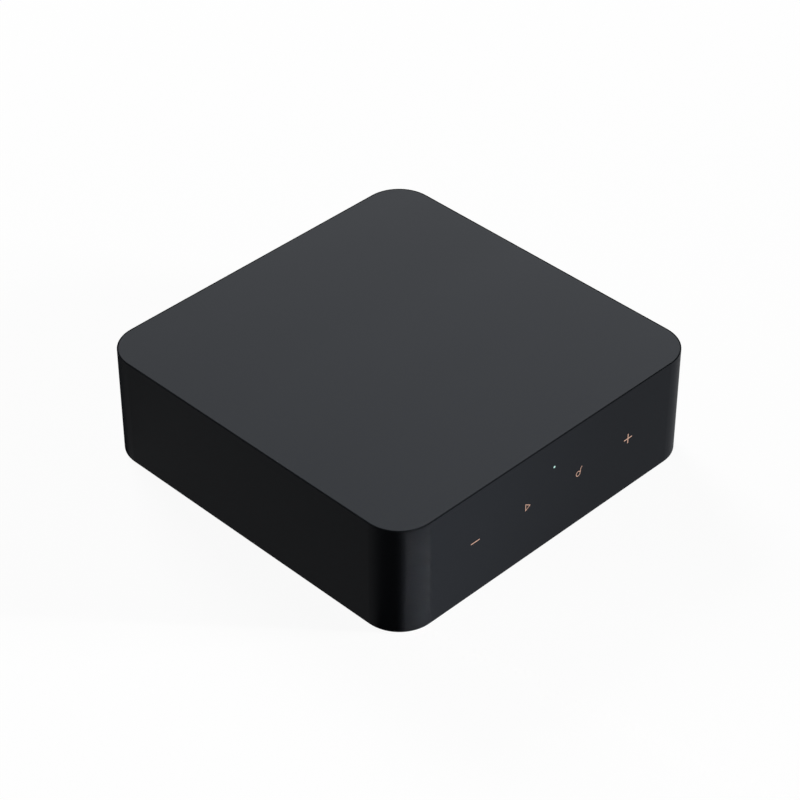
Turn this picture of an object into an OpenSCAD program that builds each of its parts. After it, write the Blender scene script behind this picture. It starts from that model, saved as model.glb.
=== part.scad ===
// Network music streamer: a square desktop box with a satin top cover, touch marks on the front
// wall and a row of sockets on the rear panel. Sizes are in millimetres. The origin is the middle
// of the foot pad's underside, +Z is up and the front wall faces -Y.

/* [Case] */
// Width of the case across the front
case_w = 140; // [126:1:160]
// Depth of the case from the front wall to the rear panel
case_d = 140; // [136:1:160]
// Height from the table to the top cover
case_h = 42; // [41:0.5:48]
// Radius of the upright corners, seen from above
corner_r = 13.5; // [11:0.5:16]
// Thickness of the case wall
wall = 2.4; // [2.1:0.1:2.8]
// Rim of the wall that shows round the top cover
rim = 0.35; // [0.3:0.05:0.7]
// Bevel inside the rim, which leaves a fine groove round the top cover
rim_bevel = 0.25; // [0.1:0.05:0.25]
// Radius of the wall's outer top edge
edge_r = 0.08; // [0.04:0.02:0.1]
// Radius of the wall's outer lower edge
foot_r = 0.4; // [0.2:0.1:0.8]
// Height of the wall's lower edge above the table
foot_drop = 0.2; // [0.1:0.1:0.9]

/* [Top cover] */
// Thickness of the top cover
top_t = 2; // [1.6:0.1:2.4]
// Hairline gap between the top cover and the rim
top_gap = 0.1; // [0.08:0.02:0.2]
// Radius of the top cover's upper edge
top_edge_r = 0.1; // [0.05:0.05:0.4]
// Length of a snap tab along its side of the case
tab_l = 14; // [8:1:20]
// Height of a snap tab below the top cover
tab_h = 3; // [2.6:0.1:3.4]
// Thickness of a snap tab
tab_t = 1.5; // [1.2:0.1:2]
// Distance of the snap tabs from the middle of each side
tab_offset = 34; // [26:1:38]
// How far a snap hook reaches into the wall
hook_reach = 0.5; // [0.3:0.05:0.8]

/* [Base and foot] */
// Thickness of the base cover
base_t = 3.3; // [2.6:0.1:3.6]
// Gap between the base cover and the case wall
base_gap = 0.15; // [0.1:0.05:0.25]
// Thickness of the rubber foot pad
pad_t = 1.7; // [1.4:0.1:2]
// Distance from the case wall's outer face to the edge of the foot pad
pad_inset = 7; // [6:0.5:9]
// Gap round the foot pad in its recess
pad_gap = 0.2; // [0.1:0.05:0.4]
// Radius of the foot pad's lower edge
pad_edge_r = 0.4; // [0.2:0.1:0.5]

/* [Screws] */
// Distance of the corner screws from the case's outer faces
boss_inset = 13.5; // [12.5:0.25:14]
// Radius of a corner screw boss
boss_r = 3.5; // [3:0.1:3.8]
// Thickness of the ribs that tie a boss to the walls
rib_t = 1.6; // [1.2:0.1:2]
// Shank radius of the base screws
base_screw_r = 1.5; // [1.3:0.05:1.7]
// Head radius of the base screws
base_head_r = 2.8; // [2.5:0.1:3.2]
// Head height of the base screws
base_head_h = 1.6; // [1.3:0.1:1.8]
// Length of a base screw below its head
base_screw_l = 9; // [7:0.5:14]
// Shank radius of the board screws
board_screw_r = 1.25; // [1.1:0.05:1.4]
// Head radius of the board screws
board_head_r = 2.4; // [2.1:0.1:2.8]
// Head height of the board screws
board_head_h = 1.4; // [1.2:0.1:1.8]
// Radius of a board standoff on the base cover
standoff_r = 3; // [2.6:0.1:3.4]

/* [Front marks] */
// Spacing of the touch marks along the front wall
mark_pitch = 24.2; // [20:0.1:28]
// Height of the touch marks above the table
mark_z = 21.9; // [19:0.1:24]
// Span of the plus and minus marks
mark_span = 4; // [3:0.1:5]
// Width of the plus and minus marks' lines
mark_line = 0.38; // [0.3:0.02:0.7]
// Width of the play and preset marks' lines
outline_line = 0.26; // [0.2:0.02:0.4]
// Depth of a mark's inlay in the wall
mark_depth = 0.3; // [0.2:0.05:0.5]
// Height of the status light above the table
light_z = 31.1; // [29:0.1:33]
// Radius of the status light's lens
light_r = 0.45; // [0.4:0.05:0.9]
// Radius of the light pipe's head behind the wall
light_head_r = 1.8; // [1.4:0.1:2.4]

/* [Touch board] */
// Width of the touch board
touch_w = 92; // [86:1:100]
// Height of the touch board
touch_h = 24; // [23:0.5:25]
// Thickness of the touch board
touch_t = 1; // [0.8:0.1:1.2]
// Thickness of the tape that holds the touch board to the wall
tape_t = 0.25; // [0.2:0.05:0.4]
// Radius of the pegs that place the touch board
peg_r = 1; // [0.8:0.1:1.4]
// Width of the ribbon between the two boards
ribbon_w = 6; // [4:0.5:8]
// Thickness of the ribbon
ribbon_t = 0.3; // [0.2:0.05:0.35]
// Radius of the ribbon's bend
ribbon_bend = 2.5; // [1.5:0.1:3]

/* [Main board] */
// Depth of the main board from the rear panel forwards
board_d = 98; // [90:1:104]
// Thickness of the main board
board_t = 1.6; // [1.2:0.1:2]
// Gap from the case wall's inner face to the main board's sides
board_side_gap = 7.5; // [6:0.5:8]
// Gap between the base cover and the underside of the main board
board_lift = 2.9; // [2.6:0.1:3.2]
// Side of the larger converter chip
chip_w = 7; // [5:0.5:9]
// Thickness of the converter chips
chip_t = 0.9; // [0.7:0.1:1.2]
// Radius of a filter capacitor
cap_r = 3.15; // [2.5:0.05:3.4]
// Height of a filter capacitor
cap_h = 7.7; // [6:0.1:10]
// Side of a power inductor
coil_block_w = 6; // [4:0.5:7]
// Height of a power inductor
coil_block_h = 3; // [2:0.1:4]
// Length of the Ethernet transformer
transformer_w = 12.7; // [11:0.1:14]
// Height of the Ethernet transformer
transformer_h = 5.5; // [4:0.1:7]

/* [Wireless module] */
// Width of the wireless module's board
module_w = 44; // [42:1:50]
// Depth of the wireless module's board
module_d = 32; // [30:1:36]
// Thickness of the wireless module's board
module_t = 0.8; // [0.6:0.1:1.2]
// Width of the shield over the module
shield_w = 34; // [30:1:35]
// Height of the shield over the module
shield_h = 2.2; // [1.8:0.1:3]
// Thickness of the heat pad on the shield
heat_pad_t = 0.8; // [0.5:0.1:1.5]
// Width and depth of the heat sink
sink_w = 28; // [24:1:30]
// Height of the heat sink
sink_h = 7.6; // [6:0.2:10]
// Thickness of a heat sink fin
fin_t = 1.2; // [0.8:0.1:1.6]
// Number of heat sink fins
fin_count = 7; // [5:1:8]
// Length of an antenna patch on a side wall
antenna_l = 40; // [30:1:50]
// Height of an antenna patch
antenna_h = 10; // [8:0.5:12]
// Radius of an antenna lead
lead_r = 0.57; // [0.4:0.01:0.7]

/* [Rear panel] */
// Width of the panel's lap behind the case wall
lap = 1.2; // [1:0.1:1.5]
// Thickness of the panel's lap
lap_t = 1.6; // [1.2:0.1:2]
// Gap between the rear panel and its window
panel_gap = 0.1; // [0.08:0.02:0.2]
// Space at each end of the row of sockets, over and above the gap between two sockets
row_end = 1.43; // [1:0.01:1.6]
// How far the socket faces sit inside the panel's outer face
socket_recess = 0.2; // [0.1:0.05:0.4]
// Gap round a socket in its cut-out
socket_clear = 0.25; // [0.15:0.05:0.4]

/* [Power socket] */
// Outside width of the power socket
power_w = 8.94; // [8.8:0.02:9.2]
// Outside height of the power socket
power_h = 3.26; // [3.1:0.02:3.4]
// Sheet thickness of the power socket's shell
power_sheet = 0.3; // [0.2:0.05:0.35]
// Length of the power socket
power_l = 7.3; // [6.8:0.1:9]

/* [Ethernet socket] */
// Outside width of the Ethernet socket
ethernet_w = 16; // [15.6:0.1:17]
// Outside height of the Ethernet socket
ethernet_h = 13.4; // [13.2:0.1:14.4]
// Length of the Ethernet socket
ethernet_l = 21.3; // [18:0.1:23]
// Width of the opening for the Ethernet plug
ethernet_mouth_w = 11.9; // [11.7:0.1:12.4]
// Height of the opening for the Ethernet plug
ethernet_mouth_h = 7; // [6.8:0.1:7.4]
// Sheet thickness of the Ethernet socket's shield
ethernet_sheet = 0.25; // [0.2:0.05:0.35]

/* [Trigger socket] */
// Width of the trigger socket's body
trigger_w = 7.4; // [7:0.1:8]
// Height of the trigger socket's body
trigger_h = 6.4; // [6:0.1:7]
// Length of the trigger socket's body behind the panel
trigger_l = 12; // [11.5:0.1:14]
// Bore radius of the trigger socket
trigger_bore_r = 1.8; // [1.75:0.01:1.9]
// Radius of the trigger socket's collar in the panel
trigger_collar_r = 3.1; // [2.8:0.1:3.4]

/* [Optical sockets] */
// Width of an optical socket's housing
optical_w = 10; // [9.6:0.1:10.6]
// Length of an optical socket's housing
optical_l = 13.6; // [13.2:0.1:15]
// Height of the plug opening of an optical socket
optical_mouth_h = 7; // [6.8:0.1:7.2]
// Thickness of an optical socket's side walls
optical_wall = 0.75; // [0.6:0.05:0.9]
// Thickness of the lip round the plug opening
optical_lip = 0.6; // [0.5:0.05:0.8]
// Thickness of a shutter
shutter_t = 0.9; // [0.7:0.05:1]
// Radius of a shutter's hinge pin
pin_r = 0.5; // [0.4:0.02:0.55]
// Radius of a shutter's hinge barrel
knuckle_r = 0.95; // [0.85:0.01:1.05]
// Running clearance between a shutter and its pin
pin_clear = 0.05; // [0.03:0.01:0.08]
// Wire radius of a shutter spring
spring_wire_r = 0.1; // [0.08:0.01:0.1]
// Turns of a shutter spring
spring_turns = 3; // [2:1:3]

/* [Phono sockets] */
// Width of a phono socket's body
phono_w = 11; // [10.6:0.1:11.4]
// Length of a phono socket's body behind the panel
phono_l = 10; // [9.5:0.1:12]
// Height of the lower phono socket's axis above the main board
phono_axis_h = 6.5; // [6.2:0.1:6.8]
// Outside radius of a phono socket's barrel
barrel_r = 4.15; // [4.05:0.01:4.25]
// Wall thickness of the barrel
barrel_t = 0.7; // [0.55:0.05:0.8]
// Length of the barrel in front of its flange
barrel_l = 8.2; // [7.5:0.1:9.5]
// Thickness of the barrel's flange
barrel_flange_t = 0.8; // [0.5:0.1:1.2]
// Radius of the barrel's flange
barrel_flange_r = 4.9; // [4.6:0.05:4.95]
// Radius of the socket body's neck in the panel
neck_r = 5; // [4.96:0.01:5.2]
// Bore radius of a phono socket's centre contact
contact_bore_r = 1.65; // [1.6:0.01:1.7]
// Wall thickness of the centre contact
contact_t = 0.45; // [0.35:0.05:0.5]

/* [Hidden] */
$fn = 48;

// How far a cutting solid runs past what it cuts
cut = 1;
// Overlap of a rib with the wall that carries it
root = 0.6;
// Small clearance between pieces that sit in one another
seat_clear = 0.05;

// Planes of the case
front_y = -case_d / 2;
rear_y = case_d / 2;
front_in_y = front_y + wall;
rear_in_y = rear_y - wall;
seat_z = case_h - top_t;
base_top_z = foot_drop + base_t;
board_z0 = base_top_z + board_lift;
board_z1 = board_z0 + board_t;

// Corner screws: their axes, the land under each boss and the bosses' height
boss_x = case_w / 2 - boss_inset;
boss_y = case_d / 2 - boss_inset;
land_h = 2;
land_z1 = base_top_z + land_h;
land_wall = 1.6;
head_clear = 0.3;
head_sink = 0.1;
head_seat_z = pad_t + base_head_h + head_sink;
boss_drop = 2.5;
boss_top_z = seat_z - tab_h - boss_drop;
rib_lift = 4;
rib_z0 = board_z1 + rib_lift;

// Snap tabs of the top cover
tab_gap = 0.2;
hook_h = 1.2;
hook_lift = 0.4;
hook_z = seat_z - tab_h + hook_lift;
groove_clear = 0.15;

// Foot pad
pad_w = case_w - 2 * pad_inset;
pad_d = case_d - 2 * pad_inset;
pad_r = corner_r - pad_inset;

// Rear window, and the panel that fills it
panel_rim = 2;
panel_top_rim = 0.8;
rib_clear = 0.5;
window_w = 2 * (boss_x - rib_t / 2 - rib_clear - lap);
window_drop = 0.3;
window_top = seat_z - tab_h - lap - window_drop;
panel_w = window_w - 2 * panel_gap;
panel_top = window_top - panel_gap;
panel_rim_z = panel_top - panel_top_rim;
lap_y0 = rear_in_y - panel_gap - lap_t;
socket_y = rear_y - socket_recess;

// Sockets in a row that fills the window: widths from -X to +X, the gap, and the middle of each
socket_w = [phono_w, phono_w, phono_w, optical_w, optical_w, trigger_w, ethernet_w, power_w];
function total(list, n) = n == 0 ? 0 : list[n - 1] + total(list, n - 1);
socket_count = len(socket_w);
socket_gap = (window_w - 2 * row_end - total(socket_w, socket_count)) / (socket_count + 1);
socket_x = [for (i = [0:socket_count - 1])
    -window_w / 2 + row_end + socket_gap * (i + 1) + total(socket_w, i) + socket_w[i] / 2];
line_out_x = socket_x[0];
line_in_x = socket_x[1];
coax_x = socket_x[2];
optical_in_x = socket_x[3];
optical_out_x = socket_x[4];
trigger_x = socket_x[5];
ethernet_x = socket_x[6];
power_x = socket_x[7];

// Main board outline and its four screws
board_w = case_w - 2 * (wall + board_side_gap);
board_rear_gap = 0.5;
board_y1 = lap_y0 - board_rear_gap;
board_y0 = board_y1 - board_d;
board_notch = 0.8;
screw_inset = 6;
screw_rear_inset = 24;
screw_x = board_w / 2 - screw_inset;
screw_ys = [board_y0 + screw_inset, board_y1 - screw_rear_inset];
board_screw_l = 5;
standoff_depth = 3.6;

// Touch board behind the front wall
touch_z0 = 10;
touch_y = front_in_y + tape_t;
peg_inset = 4;
peg_lift = 3.5;
peg_x = touch_w / 2 - peg_inset;
peg_z = touch_z0 + peg_lift;
peg_clear = 0.1;
peg_proud = 0.8;
mark_proud = 0.02;
mark_clear = 0.02;
light_pocket = 1.4;
light_head_gap = 0.2;
light_pocket_r = light_head_r + light_head_gap;
led_w = 1.6;
led_h = 0.8;
led_t = 0.6;

// Ribbon and its two connectors
connector_side = 1.5;
connector_w = ribbon_w + 2 * connector_side;
connector_t = 2;
connector_l = 4.5;
connector_slot = 3.2;
ribbon_in = 3;
connector_lift = 2.2;
touch_connector_z = touch_z0 + connector_lift;
touch_back_y = touch_y + touch_t;
ribbon_y = touch_back_y + connector_t / 2;
ribbon_z = board_z1 + connector_t / 2;
connector_inset = 0.6;
main_connector_y = board_y0 + connector_inset;

// Wireless module on the main board
module_x = 14;
module_inset = 26;
module_y = board_y0 + module_inset;
module_z1 = board_z1 + module_t;
shield_border = 2;
shield_d = module_d - 2 * shield_border;
shield_corner = 1.2;
shield_edge = 0.3;
heat_pad_border = 3;
heat_pad_w = sink_w - 2 * heat_pad_border;
heat_pad_z = module_z1 + shield_h;
sink_z = heat_pad_z + heat_pad_t;
sink_base = 1.6;

// Antenna patches, their feeds and leads
antenna_t = 0.3;
antenna_z = 23;
feed_t = 1.2;
feed_w = 3;
feed_h = 2.4;
feed_lift = 0.6;
feed_z = antenna_z + feed_lift;
plug_w = 2.6;
plug_h = 1.3;
plug_inset = 0.4;
plug_x = module_w / 2 - plug_inset - plug_w / 2;
lead_start = 0.8;
lead_lift = 0.4;
lead_rise = 8;
lead_steps = 22;

// Other parts on the main board: how far each lies in front of its socket or of the rear edge
chip_side = 4;
chip_back = 32;
clock_back = 42;
clock_w = 5;
clock_d = 3.2;
clock_h = 1;
clock_corner = 0.5;
clock_edge = 0.2;
transformer_d = 7.2;
transformer_back = 8;
inductor_side = 1;
inductor_back = 12;
inductor_pitch = 9;
inductor_corner = 1;
winding_proud = 0.3;
cap_back = 5;
cap_pitch = 7.6;
cap_border = 0.15;
cap_foot_t = 1;
cap_groove_z = 2.2;
cap_groove_r = 0.45;
cap_groove_out = 0.15;

// Tongue of the power socket
tongue_w = 6.7;
tongue_t = 0.7;
tongue_recess = 0.8;
tongue_back = 2.4;

// Ethernet plug opening, stepped for the plug's latch
latch_w = 6.4;
latch_h = 2;
catch_w = 3.4;
catch_h = 1;
latch_lift = 1.2;
latch_z = board_z1 + latch_lift;
mouth_z0 = latch_z + catch_h + latch_h;
mouth_z1 = mouth_z0 + ethernet_mouth_h;
mouth_depth = 14;
wire_pitch = 1.02;
wire_w = 0.5;
wire_t = 0.3;
wire_start = 1;
wire_flat = 2.3;
wire_reach = 10.2;
wire_drop = 2;
mouth_grow = 0.15;

// Trigger socket
trigger_z = board_z1 + trigger_h / 2;
socket_back_gap = 0.1;
trigger_body_y = rear_in_y - socket_back_gap;
trigger_bore_l = 13.4;
terminal_t = 0.4;
terminal_w = 2;

// Optical socket: plug opening, hinge axis and shutter
optical_floor = 1;
mouth_side = 0.15;
optical_mouth_w = optical_w - 2 * optical_wall - 2 * mouth_side;
mouth_chamfer = 1.2;
mouth_lift = 0.4;
optical_mouth_z = board_z1 + optical_floor + mouth_lift;
optical_mouth_top = optical_mouth_z + optical_mouth_h;
shutter_gap = 0.1;
shutter_side_gap = 0.15;
hinge_lift = 0.05;
hinge_z = optical_mouth_top + knuckle_r + hinge_lift;
hinge_y = socket_y - optical_lip - shutter_gap - knuckle_r;
shutter_lap = 0.2;
shutter_l = hinge_z - optical_mouth_z + shutter_lap;
roof_gap = 0.15;
roof_z = hinge_z + knuckle_r + roof_gap;
roof_t = 0.7;
optical_h = roof_z + roof_t - board_z1;
shutter_w = optical_w - 2 * optical_wall - 2 * shutter_side_gap;
cavity_gap = 0.5;
cavity_y = hinge_y - shutter_l - cavity_gap;
eye_r = 1.3;
eye_wall = 0.8;
eye_z = optical_mouth_z + optical_mouth_h / 2;
lens_r = 1;

// Shutter spring round the pin: coil radius, width and legs
spring_gap = 0.12;
spring_r = pin_r + spring_gap + spring_wire_r;
spring_pitch = 0.7;
spring_w = spring_pitch * spring_turns;
spring_steps = 18;
spring_in = 0.4;
spring_up = roof_z - hinge_z + spring_in;
spring_down = 4.2;
spring_slot = 0.3;
knuckle_clear = 0.1;
knuckle_gap = spring_w / 2 + spring_wire_r + knuckle_clear;

// Phono sockets
phono_z1 = board_z1 + phono_axis_h;
phono_z2 = phono_z1 + 2 * (window_top - phono_z1) / 3;
phono_head = 6;
stack_top = panel_rim_z - socket_back_gap;
phono_body_y = rear_in_y - socket_back_gap;
barrel_y0 = rear_y + barrel_flange_t;
barrel_y1 = barrel_y0 + barrel_l;
tail_t = 0.7;
tail_r = barrel_r - barrel_t - seat_clear;
tail_l = 8;
insulator_recess = 0.5;
contact_recess = 1.4;
contact_l = 8;
contact_r = contact_bore_r + contact_t;
contact_mouth = 0.35;
mouth_flare = 0.4;
phono_places = [[coax_x, phono_z1], [line_in_x, phono_z1], [line_in_x, phono_z2],
    [line_out_x, phono_z1], [line_out_x, phono_z2]];

// Colours
case_black = [0.10, 0.10, 0.11];
top_grey = [0.24, 0.25, 0.27];
plain_black = [0.07, 0.07, 0.07];
rubber_black = [0.05, 0.05, 0.05];
mark_copper = [0.80, 0.55, 0.42];
light_teal = [0.45, 0.85, 0.80];
board_green = [0.06, 0.16, 0.12];
chip_black = [0.09, 0.09, 0.10];
tin = [0.72, 0.72, 0.72];
gold = [0.83, 0.66, 0.33];
screw_steel = [0.45, 0.45, 0.47];
aluminium = [0.76, 0.77, 0.78];
copper_skin = [0.72, 0.42, 0.26];
jack_white = [0.88, 0.88, 0.86];
jack_red = [0.70, 0.08, 0.08];
jack_orange = [0.85, 0.40, 0.08];
ribbon_white = [0.85, 0.86, 0.88];
pad_grey = [0.55, 0.60, 0.68];

// Rounded rectangle centred on the origin
module round_rect(w, d, r) {
    square([w - 2 * r, d], center = true);
    square([w, d - 2 * r], center = true);
    for (sx = [-1, 1], sy = [-1, 1])
        translate([sx * (w / 2 - r), sy * (d / 2 - r)])
            circle(r);
}

// Bar with round ends, w long and h high
module stadium(w, h) {
    square([w - h, h], center = true);
    for (s = [-1, 1])
        translate([s * (w - h) / 2, 0])
            circle(h / 2);
}

// Carries a profile round a rounded rectangle: the profile's x runs outwards from the outline
// and its y runs upwards
module sweep_round_rect(w, d, r) {
    for (k = [0:3]) {
        across = k % 2 == 0 ? w : d;
        along = k % 2 == 0 ? d : w;
        rotate(90 * k) {
            translate([across / 2, along / 2 - r, 0])
                rotate([90, 0, 0])
                    linear_extrude(along - 2 * r)
                        children();
            translate([across / 2 - r, along / 2 - r, 0])
                rotate_extrude(angle = 90)
                    translate([r, 0])
                        children();
        }
    }
}

// What rounding a corner to e takes away, seen from the middle of the rounding
module corner_waste(e) {
    difference() {
        square(e + cut);
        circle(e);
    }
}

// Upright bar in section, t thick with its outer face on x = 0 and that face's top rounded to e
module soft_bar(t, h, e) {
    difference() {
        translate([-t, 0])
            square([t, h]);
        translate([-e, h - e])
            corner_waste(e);
    }
}

// Rounded slab standing on z = 0 whose upper edge is rounded to e
module soft_slab(w, d, r, h, e) {
    linear_extrude(h)
        round_rect(w - 2 * e, d - 2 * e, r - e);
    sweep_round_rect(w, d, r)
        soft_bar(2 * e, h, e);
}

// Box from one corner to the opposite one
module block(a, b) {
    translate(a)
        cube(b - a);
}

// Cylinder along Y from y0 to y1
module y_rod(x, z, r, y0, y1) {
    translate([x, y1, z])
        rotate([90, 0, 0])
            cylinder(h = y1 - y0, r = r);
}

// Cylinder along X, centred on x
module x_rod(x, y, z, r, l) {
    translate([x, y, z])
        rotate([0, 90, 0])
            cylinder(h = l, r = r, center = true);
}

// Profile drawn in the upright plane across X and Z, pushed along Y from y0 to y1
module along_y(y0, y1) {
    translate([0, y1, 0])
        rotate([90, 0, 0])
            linear_extrude(y1 - y0)
                children();
}

// Profile drawn in the upright plane along Y and Z, centred on x and l wide
module along_x(x, l) {
    translate([x, 0, 0])
        rotate([90, 0, 90])
            linear_extrude(l, center = true)
                children();
}

// Profile of radius and length turned about a level axis that points out of the rear panel
module turned_rear(x, z) {
    translate([x, 0, z])
        rotate([-90, 0, 0])
            rotate_extrude()
                children();
}

// Repeats the children at the four corner screws
module at_bosses() {
    for (sx = [-1, 1], sy = [-1, 1])
        translate([sx * boss_x, sy * boss_y, 0])
            children();
}

// Repeats the children at the four board screws
module at_board_screws() {
    for (sx = [-1, 1], y = screw_ys)
        translate([sx * screw_x, y, 0])
            children();
}

// Repeats the children at the snap tabs: x runs outwards from the wall's inner face
module at_tabs() {
    for (k = [0:3], s = [-1, 1]) {
        reach = (k % 2 == 0 ? case_w : case_d) / 2 - wall;
        rotate(90 * k)
            translate([reach, s * tab_offset, 0])
                children();
    }
}

// Round wire along a list of points; ref is a direction the path never follows
function unit(v) = v / norm(v);
function heading(path, i) = unit(path[min(i + 1, len(path) - 1)] - path[max(i - 1, 0)]);
function ring(p, t, ref, r, sides) =
    let (u = unit(ref - (ref * t) * t), v = cross(t, u))
    [for (k = [0:sides - 1]) p + r * (cos(360 * k / sides) * u + sin(360 * k / sides) * v)];
module wire(path, r, ref, sides) {
    n = len(path);
    points = [for (i = [0:n - 1]) each ring(path[i], heading(path, i), ref, r, sides)];
    skin = [for (i = [0:n - 2], k = [0:sides - 1])
        let (a = i * sides + k, b = i * sides + (k + 1) % sides)
        each [[a, a + sides, b + sides], [a, b + sides, b]]];
    first = [for (k = [0:sides - 1]) k];
    last = [for (k = [sides - 1:-1:0]) (n - 1) * sides + k];
    polyhedron(points, concat([first], skin, [last]));
}

// Wall section: seat for the top cover inside a thin bevelled rim, and rounded outer edges
module wall_profile() {
    difference() {
        translate([0, foot_drop])
            soft_bar(wall, case_h - foot_drop, edge_r);
        translate([-foot_r, foot_drop + foot_r])
            rotate(-90)
                corner_waste(foot_r);
        translate([-wall - cut, seat_z])
            square([wall - rim + cut, top_t + cut]);
        polygon([[-rim - cut, case_h - rim_bevel - cut], [-rim + rim_bevel + cut, case_h + cut],
            [-rim - cut, case_h + cut]]);
    }
}

// One line of a mark from a to b with round ends, grown by g on every side
module mark_stroke(a, b, line, g) {
    w = line + 2 * g;
    d = b - a;
    translate(a)
        rotate(atan2(d[1], d[0])) {
            translate([0, -w / 2])
                square([norm(d), w]);
            circle(w / 2);
            translate([norm(d), 0])
                circle(w / 2);
        }
}

module minus_shape(g) {
    reach = (mark_span - mark_line) / 2;
    mark_stroke([-reach, 0], [reach, 0], mark_line, g);
}

module plus_shape(g) {
    reach = (mark_span - mark_line) / 2;
    minus_shape(g);
    mark_stroke([0, -reach], [0, reach], mark_line, g);
}

// Outlined triangle that points right: a line's width round the triangle, about its incentre
module play_shape(g) {
    left = -0.25 * mark_span;
    tip = 0.25 * mark_span;
    half = 0.315 * mark_span;
    inradius = half * (tip - left) / (half + norm([tip - left, half]));
    centre = [left + inradius, 0];
    grow = (outline_line / 2 + g) / inradius;
    corners = [[left, -half] - centre, [tip, 0] - centre, [left, half] - centre];
    translate(centre)
        difference() {
            polygon((1 + grow) * corners);
            polygon((1 - grow) * corners);
        }
}

// Hollow note head with a stem that bends into a short flag
module preset_shape(g) {
    head_r = 0.265 * mark_span;
    head_at = [-0.05, -0.16] * mark_span;
    foot = head_at + [head_r - outline_line / 2, 0];
    bend = [0.24, 0.25] * mark_span;
    tip = [0.38, 0.41] * mark_span;
    translate(head_at)
        difference() {
            circle(head_r + g);
            circle(head_r - outline_line - g);
        }
    mark_stroke(foot, bend, outline_line, g);
    mark_stroke(bend, tip, outline_line, g);
}

// Sinks a mark's outline into the front wall at x
module inlay(x, depth, proud) {
    translate([x, 0, mark_z])
        along_y(front_y - proud, front_y + depth)
            children();
}

// Walls of the case, with its rear window, corner bosses, snap grooves and the marks' recesses
module body_shell() {
    color(case_black)
        difference() {
            union() {
                sweep_round_rect(case_w, case_d, corner_r)
                    wall_profile();
                at_bosses()
                    translate([0, 0, land_z1])
                        cylinder(h = boss_top_z - land_z1, r = boss_r);
                for (sx = [-1, 1], sy = [-1, 1])
                    translate([sx * boss_x, sy * boss_y, rib_z0]) {
                        scale_x = boss_inset - wall + root;
                        translate([sx > 0 ? 0 : -scale_x, -rib_t / 2, 0])
                            cube([scale_x, rib_t, boss_top_z - rib_z0]);
                        translate([-rib_t / 2, sy > 0 ? 0 : -scale_x, 0])
                            cube([rib_t, scale_x, boss_top_z - rib_z0]);
                    }
                for (s = [-1, 1])
                    y_rod(s * peg_x, peg_z, peg_r, front_in_y - root, touch_back_y + peg_proud);
            }
            at_bosses()
                translate([0, 0, land_z1 - cut])
                    cylinder(h = base_screw_l, r = base_screw_r + seat_clear);
            block([-window_w / 2, rear_in_y - cut, foot_drop - cut],
                [window_w / 2, rear_y + cut, window_top]);
            at_tabs()
                translate([-cut, -tab_l / 2 - groove_clear, hook_z - groove_clear])
                    cube([cut + hook_reach + groove_clear, tab_l + 2 * groove_clear,
                        hook_h + 2 * groove_clear]);
            inlay(-1.5 * mark_pitch, mark_depth, cut)
                minus_shape(mark_clear);
            inlay(-0.5 * mark_pitch, mark_depth, cut)
                play_shape(mark_clear);
            inlay(0.5 * mark_pitch, mark_depth, cut)
                preset_shape(mark_clear);
            inlay(1.5 * mark_pitch, mark_depth, cut)
                plus_shape(mark_clear);
            y_rod(0, light_z, light_r + mark_clear, front_y - cut, front_in_y);
            y_rod(0, light_z, light_pocket_r, front_in_y - light_pocket, front_in_y + cut);
        }
}

// Satin plate let into the rim, with snap tabs on all four sides
module top_cover() {
    inset = 2 * (rim + top_gap);
    color(top_grey) {
        translate([0, 0, seat_z])
            soft_slab(case_w - inset, case_d - inset, corner_r - inset / 2, top_t, top_edge_r);
        at_tabs() {
            translate([-tab_gap - tab_t, -tab_l / 2, seat_z - tab_h])
                cube([tab_t, tab_l, tab_h + root]);
            translate([-tab_gap, -tab_l / 2, hook_z])
                rotate([-90, 0, 0])
                    linear_extrude(tab_l)
                        polygon([[-tab_gap, 0], [0, 0], [tab_gap + hook_reach, -0.6 * hook_h],
                            [tab_gap + hook_reach, -hook_h], [-tab_gap, -hook_h]]);
        }
    }
}

// Floor of the case, with a recess for the foot pad, screw lands and board standoffs
module base_cover() {
    inset = 2 * (wall + base_gap);
    color(plain_black)
        difference() {
            union() {
                translate([0, 0, foot_drop])
                    linear_extrude(base_t)
                        round_rect(case_w - inset, case_d - inset, corner_r - inset / 2);
                at_bosses()
                    translate([0, 0, foot_drop])
                        cylinder(h = land_z1 - foot_drop, r = base_head_r + land_wall);
                at_board_screws()
                    translate([0, 0, foot_drop])
                        cylinder(h = board_z0 - foot_drop, r = standoff_r);
            }
            translate([0, 0, foot_drop - cut])
                linear_extrude(pad_t - foot_drop + cut)
                    round_rect(pad_w + 2 * pad_gap, pad_d + 2 * pad_gap, pad_r + pad_gap);
            at_bosses() {
                translate([0, 0, pad_t - cut])
                    cylinder(h = head_seat_z - pad_t + cut, r = base_head_r + head_clear);
                cylinder(h = land_z1 + cut, r = base_screw_r + head_clear);
            }
            at_board_screws()
                translate([0, 0, board_z0 - standoff_depth])
                    cylinder(h = standoff_depth + cut, r = board_screw_r + seat_clear);
        }
}

// Rubber pad under the whole base
module foot_pad() {
    color(rubber_black)
        translate([0, 0, pad_t])
            mirror([0, 0, 1])
                soft_slab(pad_w, pad_d, pad_r, pad_t, pad_edge_r);
}

// Screw along Z with its head's seat at z, pointing up or down, with a crossed recess
module screw(z, up, shank_r, shank_l, head_r, head_h) {
    slot_w = 0.28 * head_r;
    slot_l = 1.1 * head_r;
    translate([0, 0, z])
        mirror([0, 0, up ? 0 : 1]) {
            cylinder(h = shank_l, r = shank_r);
            difference() {
                translate([0, 0, -head_h])
                    cylinder(h = head_h, r = head_r);
                for (turn = [0, 90])
                    rotate(turn)
                        translate([-slot_l / 2, -slot_w / 2, -head_h - cut])
                            cube([slot_l, slot_w, cut + head_h / 2]);
            }
        }
}

module base_screws() {
    color(screw_steel)
        at_bosses()
            screw(head_seat_z, true, base_screw_r, min(base_screw_l, boss_top_z - head_seat_z)
                - land_h, base_head_r, base_head_h);
}

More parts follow.
